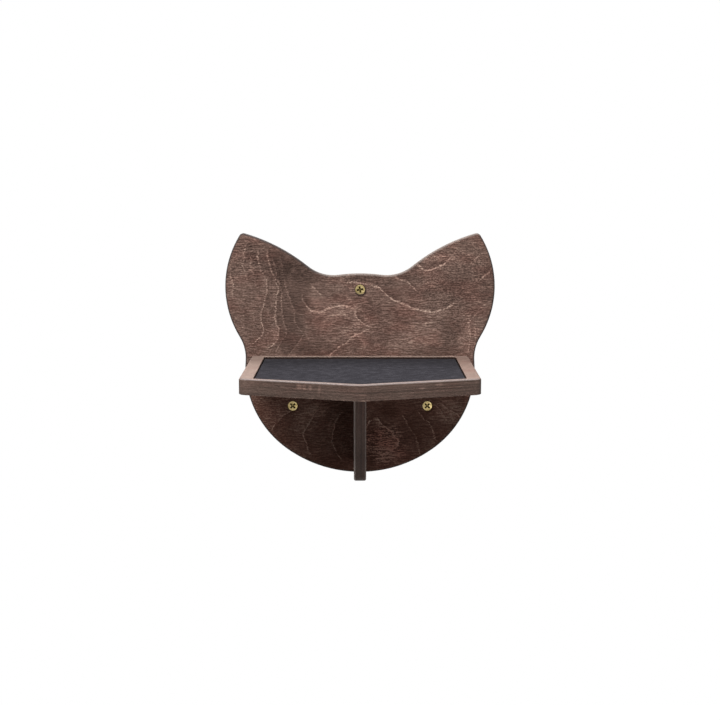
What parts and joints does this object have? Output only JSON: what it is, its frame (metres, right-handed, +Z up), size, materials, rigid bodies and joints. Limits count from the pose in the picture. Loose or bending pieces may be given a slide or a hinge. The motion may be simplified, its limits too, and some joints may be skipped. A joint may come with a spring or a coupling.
{
  "type": "cat wall step",
  "caption": "Wall-mounted cat step: a plywood backboard in the outline of a cat's head carries a felt-lined plywood shelf on a plywood bracket, held by countersunk wall screws.",
  "frame": {"origin": "on the wall plane, at the centre of the circle through the wall screws", "axes": "+X to the right seen from the room, +Y into the wall, +Z up; the shelf reaches out along -Y"},
  "size_m": [0.2774, 0.2562, 0.2491],
  "materials": {
    "stained_plywood": "brown stain under a thin satin oil, ply layers showing on the edges",
    "charcoal_felt": "needled felt, mottled charcoal",
    "yellow_screw": "yellow passivated steel",
    "zinc_screw": "bright zinc plated",
    "beech_dowel": "raw beech"
  },
  "bodies": {
    "root": {"backboard": "stained_plywood", "shelf": "stained_plywood", "support_bracket": "stained_plywood", "felt_pad": "charcoal_felt", "wall_screw_top": "yellow_screw", "wall_screw_left": "yellow_screw", "wall_screw_right": "yellow_screw", "shelf_screw_left": "zinc_screw", "shelf_screw_right": "zinc_screw", "bracket_screw_upper": "zinc_screw", "bracket_screw_lower": "zinc_screw", "deck_screw_rear": "zinc_screw", "deck_screw_front": "zinc_screw", "shelf_dowel_left": "beech_dowel", "shelf_dowel_right": "beech_dowel"}
  },
  "joints": []
}
